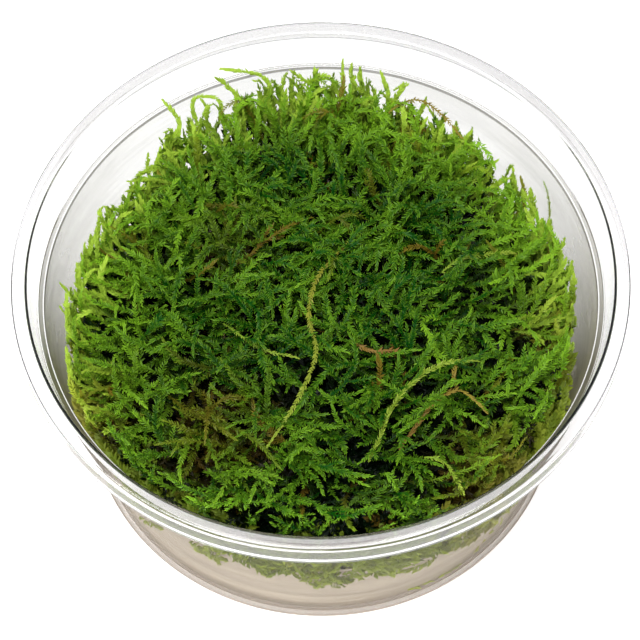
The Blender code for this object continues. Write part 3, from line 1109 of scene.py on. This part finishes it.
def make_turning_tree():
    inputs = [
        ("Profile", "Geometry"),
        ("Path Radius", "Float", PATH_RADIUS),
        ("Steps", "Int", TURNING_STEPS),
        ("Split Height", "Float", 0.0),
        ("Upper Material", "Material"),
        ("Lower Material", "Material"),
    ]
    tree, entry, leave = new_group("turned_piece", "GeometryNodeTree", inputs, [("Mesh", "Geometry")])
    circle = {"Resolution": entry["Steps"], "Radius": entry["Path Radius"]}
    path = add_node(tree, "GeometryNodeCurvePrimitiveCircle", circle).outputs["Curve"]
    level = add_node(tree, "GeometryNodeSetCurveNormal", {"Curve": path}, mode="Z_UP").outputs["Curve"]

    # the profile is drawn as (radius, height); a sweep wants it about its path and upside down
    inwards = math_node(tree, "MULTIPLY", entry["Path Radius"], -1.0)
    shift = add_node(tree, "ShaderNodeCombineXYZ", {"X": inwards}).outputs[0]
    given = {"Geometry": entry["Profile"], "Translation": shift, "Scale": (1.0, -1.0, 1.0)}
    placed = add_node(tree, "GeometryNodeTransform", given).outputs["Geometry"]
    profile = add_node(tree, "GeometryNodeMeshToCurve", {"Mesh": placed}).outputs["Curve"]
    given = {"Curve": level, "Profile Curve": profile}
    swept = add_node(tree, "GeometryNodeCurveToMesh", given).outputs["Mesh"]
    given = {"Geometry": swept, "Distance": 0.01 * MM}
    closed = add_node(tree, "GeometryNodeMergeByDistance", given).outputs["Geometry"]

    position = add_node(tree, "GeometryNodeInputPosition").outputs[0]
    place = add_node(tree, "ShaderNodeSeparateXYZ", {0: position})
    given = {0: place.outputs["Z"], 1: entry["Split Height"]}
    above = add_node(tree, "FunctionNodeCompare", given, data_type="FLOAT", operation="GREATER_THAN")
    real = add_node(tree, "GeometryNodeRealizeInstances", {"Geometry": closed}).outputs[0]
    given = {"Geometry": real, "Material": entry["Lower Material"]}
    lower = add_node(tree, "GeometryNodeSetMaterial", given).outputs["Geometry"]
    given = {"Geometry": lower, "Selection": above.outputs[0], "Material": entry["Upper Material"]}
    feed(tree, leave, {"Mesh": add_node(tree, "GeometryNodeSetMaterial", given).outputs["Geometry"]})
    return tree


turning_tree = make_turning_tree()


def turned_piece(name, profile, split, upper_material, lower_material, node, sharp_deg):
    """Sweeps a profile of (radius, height) points in mm and keeps the result as a plain mesh."""
    mesh = bpy.data.meshes.new(name + "_profile")
    points = [(r * MM, h * MM, 0.0) for r, h in profile]
    mesh.from_pydata(points, [(i, i + 1) for i in range(len(points) - 1)], [])
    piece = bpy.data.objects.new(name, mesh)
    scene.collection.objects.link(piece)
    materials = {"Upper Material": upper_material, "Lower Material": lower_material}
    turned = run_tree(piece, turning_tree, {"Split Height": split, **materials})
    turned.shade_smooth()
    turned.set_sharp_from_angle(angle=math.radians(sharp_deg))
    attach(piece, "root")
    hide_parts(node)
    size = [round(max(v.co[k] for v in turned.vertices) / MM, 1) for k in (0, 2)]
    print(f"{name}: {len(turned.polygons)} faces, radius and top in mm {size}")
    return piece


# %% [markdown]
# ## Haze and gel
#
# The wall below the ledge is milky: wet, scuffed, and clouded by the moulding. It isn't glass with a colour.
# It is a thin veil over what lies behind, so its alpha is low and uneven, in faint bands round the cup. The
# veil is strongest where the wall is seen from its inside and nearly edge on, partly for the longer path
# through the haze and partly as a painted reflection of the moss and the dim room. It is also strongest at
# the foot, where the sheet is thickest. A painted dark line runs along the fold below the ledge. The gel is
# the same veil, denser, in a warm beige.


# %% Shader group: haze in bands
def make_haze_group():
    inputs = [("Clear", "Float", 0.25), ("Milky", "Float", 0.45), ("Fineness", "Float", 60.0)]
    results = [("Veil", "Float"), ("Height", "Float")]
    group, entry, leave = new_group("haze_bands", "ShaderNodeTree", inputs, results)
    given = {"Vector": object_place(group), "Scale": (1.0, 1.0, 9.0)}
    squeeze = add_node(group, "ShaderNodeMapping", given).outputs[0]
    bands = noise(group, squeeze, entry["Fineness"], 4.0, roughness=0.65)
    veil = ramp(group, bands, 0.35, 0.65, entry["Clear"], entry["Milky"], smooth=False)
    feed(group, leave, {"Veil": veil, "Height": bands})
    return group


haze_bands = make_haze_group()


def seen_from_inside(tree):
    """1 where the visible side of a surface faces the cup's axis, and 0.06 where it faces away from it."""
    place = add_node(tree, "ShaderNodeNewGeometry").outputs
    given = {0: place["Position"], 1: (1.0, 1.0, 0.0)}
    flat = add_node(tree, "ShaderNodeVectorMath", given, operation="MULTIPLY").outputs[0]
    given = {0: flat, 1: place["True Normal"]}
    outwards = add_node(tree, "ShaderNodeVectorMath", given, operation="DOT_PRODUCT").outputs["Value"]
    return math_node(tree, "MAXIMUM", math_node(tree, "LESS_THAN", outwards, 0.0), 0.06)


def height_mask(tree, none, full):
    """0 at one height above the cup's foot and 1 at the other, in mm, smoothly between them."""
    height = add_node(tree, "ShaderNodeSeparateXYZ", {0: object_place(tree)}).outputs["Z"]
    low, high = sorted((none, full))
    ends = (0.0, 1.0) if full > none else (1.0, 0.0)
    return ramp(tree, height, low * MM, high * MM, *ends)


GEL_COLOUR = (0.62, 0.53, 0.45, 1.0)  # the cup's foot holds it


def make_veiled(name, base, clear, milky, edge_veil_and_reflection, foot, roughness, fineness, bump):
    """A material that veils what lies behind it, unevenly.

    clear, milky: the least and the most veil. The next two: how much is added where the wall is seen edge on
    from its inside, as veil and painted reflection, and at its foot.
    """
    material, tree, surface = new_material(name)
    given = {"Clear": clear, "Milky": milky, "Fineness": fineness}
    haze = add_node(tree, "ShaderNodeGroup", node_tree=haze_bands)
    feed(tree, haze, given)
    facing = add_node(tree, "ShaderNodeLayerWeight").outputs["Facing"]
    # veil and painted reflection where the wall is seen edge on from its inside
    edge_on = math_node(tree, "ADD", math_node(tree, "POWER", facing, 3.0), 0.07)
    edge_on = math_node(tree, "MULTIPLY", edge_on, seen_from_inside(tree))
    veil = math_node(tree, "ADD", haze.outputs["Veil"], math_node(tree, "MULTIPLY", edge_on, edge_veil_and_reflection))
    foot_haze = height_mask(tree, 4.5, 1.5)
    veil = math_node(tree, "ADD", veil, math_node(tree, "MULTIPLY", foot_haze, foot))
    fold = height_mask(tree, 39.1, 39.4)  # a painted dark line along the fold below the ledge, in colour and alpha
    alpha = math_node(tree, "ADD", veil, math_node(tree, "MULTIPLY", fold, 0.4 * edge_veil_and_reflection), clamp=True)
    shades = [(*(share * v for v in base), 1.0) for share in (0.86, 1.0, 0.4)]
    shade = ramp(tree, haze.outputs["Height"], 0.0, 1.0, 0.0, 1.0, smooth=False)
    colour = mix_colour(tree, shade, shades[0], shades[1])
    colour = mix_colour(tree, foot_haze, colour, GEL_COLOUR)
    colour = mix_colour(tree, fold, colour, shades[2])
    given = {"Strength": bump, "Distance": 0.1 * MM, "Height": haze.outputs["Height"]}
    relief = add_node(tree, "ShaderNodeBump", given).outputs["Normal"]
    look = {"Roughness": roughness, "IOR": 1.45, "Specular IOR Level": 0.12}
    feed(tree, surface, {"Alpha": alpha, "Base Color": colour, "Normal": relief, **look})
    return material


milky_plastic = make_veiled(
    "milky_plastic", (0.37, 0.34, 0.25), clear=0.05, milky=0.13, edge_veil_and_reflection=1.3, foot=0.40,
    roughness=0.3, fineness=45.0, bump=0.25,
)  # fmt: skip
gel_material = make_veiled(
    "set_gel", (0.75, 0.64, 0.53), clear=0.70, milky=0.92, edge_veil_and_reflection=0.1, foot=0.0,
    roughness=0.25, fineness=30.0, bump=0.4,
)  # fmt: skip
print("veiled materials:", milky_plastic.name, gel_material.name)

# %% [markdown]
# ## The gel
#
# A low dish that fills the cup's foot. Its edge climbs towards the wall, behind the moss that is pressed
# there, which is why the wall looks beige wherever no moss touches it.

# %% Gel
GEL_GAP = 0.35  # mm to the cup's inner wall
GEL_CLIMB = 6.5  # mm that its edge stands above its middle
gel_top = gel_high.z / MM - 0.5
gel_foot = gel_low.z / MM


def gel_profile():
    """(radius, height) in mm, from the top's centre over the rim to the foot's centre."""

    def wall_at(height):
        return float(wall_inner(height * MM)) / MM - GEL_GAP

    top = [(r, gel_top - 0.12 * math.cos(r / 38 * math.pi)) for r in range(0, 37, 3)]
    climb = [(36.0 + d, gel_top + GEL_CLIMB * (d / 4.4) ** 2) for d in (1.2, 2.2, 3.1, 3.8, 4.4)]
    climb += [(wall_at(gel_top) - 0.6, gel_top + 1.0), (wall_at(gel_top - 1.5), gel_top - 1.5)]
    foot = [(wall_at(6.0), 6.0), (wall_at(gel_foot + 1.6), gel_foot + 1.6)]
    foot += [(wall_at(gel_foot) - 1.4, gel_foot + 0.3), (33.0, gel_foot), (0.0, gel_foot)]
    return top + climb + foot


gel = turned_piece("gel_layer", gel_profile(), 0.0, gel_material, gel_material, "gel", 50)

# %% [markdown]
# ## The cup
#
# A deli cup is drawn from one clear sheet, so its wall is thin and the same everywhere. From the inside
# its profile runs up the cone, steps out at the ledge that holds the lid's plug, goes up the collar,
# rolls over at the rim and comes down as a short skirt with a bead. All that detail matters, because
# clear plastic shows itself only by its edges.

# %% The cup's profile
cup_height = cup_high.z / MM


def arc(centre, radius, start_deg, end_deg, steps):
    angles = [math.radians(start_deg + (end_deg - start_deg) * i / steps) for i in range(steps + 1)]
    return [(centre[0] + radius * math.cos(a), centre[1] + radius * math.sin(a)) for a in angles]


def cup_profile():
    """(radius, height) in mm, from the inside floor over the rim to the underside."""
    base, ledge, wall, rim = BASE_RADIUS / MM, LEDGE_RADIUS / MM, WALL / MM, cup_high.x / MM
    ledge_z, height = LEDGE_HEIGHT / MM, cup_height
    sheet = 0.35  # the rolled rim is drawn thinner than the wall
    mouth = 47.8
    shoulder = 0.7
    corner = (base - 1.8, 2.2)
    floor_z = 1.5
    under_z = 0.6
    foot_ring = 34.8  # the radius inside the ring that the cup stands on
    inside = [(0.0, floor_z), (20.0, floor_z), (foot_ring - 0.9, floor_z), (foot_ring, 0.9)]
    inside += arc(corner, 1.3, -90, -9, 8)
    inside += [(ledge - wall, ledge_z + 0.5), (ledge - wall + 0.2, ledge_z + 0.75), (ledge, ledge_z + 0.8)]
    inside += [(ledge + 0.2, ledge_z + 1.0)]
    crest = arc((mouth + 0.3, height - 0.3), 0.3, 165, 90, 4)
    crest += arc((rim - shoulder, height - shoulder), shoulder, 90, 0, 8)
    low = height - 4.3
    skirt = [(rim, low + 1.5), (rim - 0.3, low + 1.25), (rim - 0.3, low + 0.95), (rim, low + 0.7)]
    skirt += [(rim, low + 0.15), (rim - 0.15, low), (rim - sheet, low)]
    under = arc((rim - shoulder, height - shoulder), shoulder - sheet, 0, 90, 4)
    under += arc((mouth + 0.3 + sheet, height - 0.3 - sheet), 0.3, 90, 165, 4)
    outside = [(ledge + 0.2 + sheet, ledge_z + 0.7), (ledge + sheet, ledge_z + 0.3), (ledge, ledge_z)]
    outside += arc(corner, 2.2, -9, -90, 10)
    outside += [(foot_ring, 0.0), (foot_ring - 0.6, under_z), (20.0, under_z), (0.0, under_z)]
    return inside + crest + skirt + under + outside


print("the cup's profile has", len(cup_profile()), "points")


# %% [markdown]
# ## Clear above, milky below
#
# The rim and the collar are clear: a transmissive surface with fine scuffs in its roughness. The wall
# below the ledge has the milky material. The mesh is one piece, and the tree gives it both by height.

# %% The cup
def make_clear_plastic():
    material, tree, surface = new_material("drawn_clear_sheet")
    scuffs = noise(tree, object_place(tree), 220.0, 3.0)
    gloss = ramp(tree, scuffs, 0.0, 1.0, 0.01, 0.09, smooth=False)
    look = {"Base Color": (0.87, 0.865, 0.865, 1.0), "IOR": 1.49, "Transmission Weight": 1.0}
    feed(tree, surface, {"Roughness": gloss, **look})
    return material


clear_plastic = make_clear_plastic()
cup = turned_piece(
    "cup_moulding", cup_profile(), LEDGE_HEIGHT, clear_plastic, milky_plastic, "cup", 32
)
cup.visible_shadow = False  # its thin wall lets the studio light through to the moss

# %% [markdown]
# ## The studio
#
# A white sweep with a large soft lamp above and behind, and a smaller one in front and to the left. The
# room is darker than the sweep, so the clear rim has something dark to bend and mirror, which draws its
# lines.


# %% Floor, world and lights
def make_floor():
    half = 3.0
    mesh = bpy.data.meshes.new("floor")
    corners = [(-half, -half, 0), (half, -half, 0), (half, half, 0), (-half, half, 0)]
    mesh.from_pydata(corners, [], [(0, 1, 2, 3)])
    floor = bpy.data.objects.new("floor", mesh)
    scene.collection.objects.link(floor)
    floor.location.z = -0.2 * MM
    material, tree, surface = new_material("floor_paper")
    look = {"Base Color": (0.92, 0.92, 0.92, 1.0), "Roughness": 0.9}
    feed(tree, surface, {"Emission Color": (1.0, 1.0, 1.0, 1.0), "Emission Strength": 0.5, **look})
    mesh.materials.append(material)
    return floor


def make_world():
    world = bpy.data.worlds.new("studio")
    world.use_nodes = True
    tree = world.node_tree
    ray = add_node(tree, "ShaderNodeLightPath").outputs
    mirrored = mix_colour(tree, ray["Is Diffuse Ray"], (0.42, 0.42, 0.46, 1.0), (0.04, 0.04, 0.05, 1.0))
    colour = mix_colour(tree, ray["Is Camera Ray"], mirrored, (0.95, 0.95, 0.95, 1.0))
    feed(tree, tree.nodes["Background"], {"Color": colour})
    scene.world = world


def soft_light(name, place, aim, size, power):
    data = bpy.data.lights.new(name, "AREA")
    data.shape = "SQUARE"
    data.size = size
    data.energy = power
    light = bpy.data.objects.new(name, data)
    scene.collection.objects.link(light)
    light.location = place
    light.rotation_euler = (Vector(aim) - Vector(place)).to_track_quat("-Z", "Y").to_euler()
    return light


make_floor()
make_world()
soft_light("top", (-0.1, -0.02, 0.9), (0, 0, 0), 0.6, 8.5)
soft_light("front", (-0.25, -0.95, 0.45), (0, 0, 0.03), 0.5, 6.0)
scene.view_settings.view_transform = "Standard"
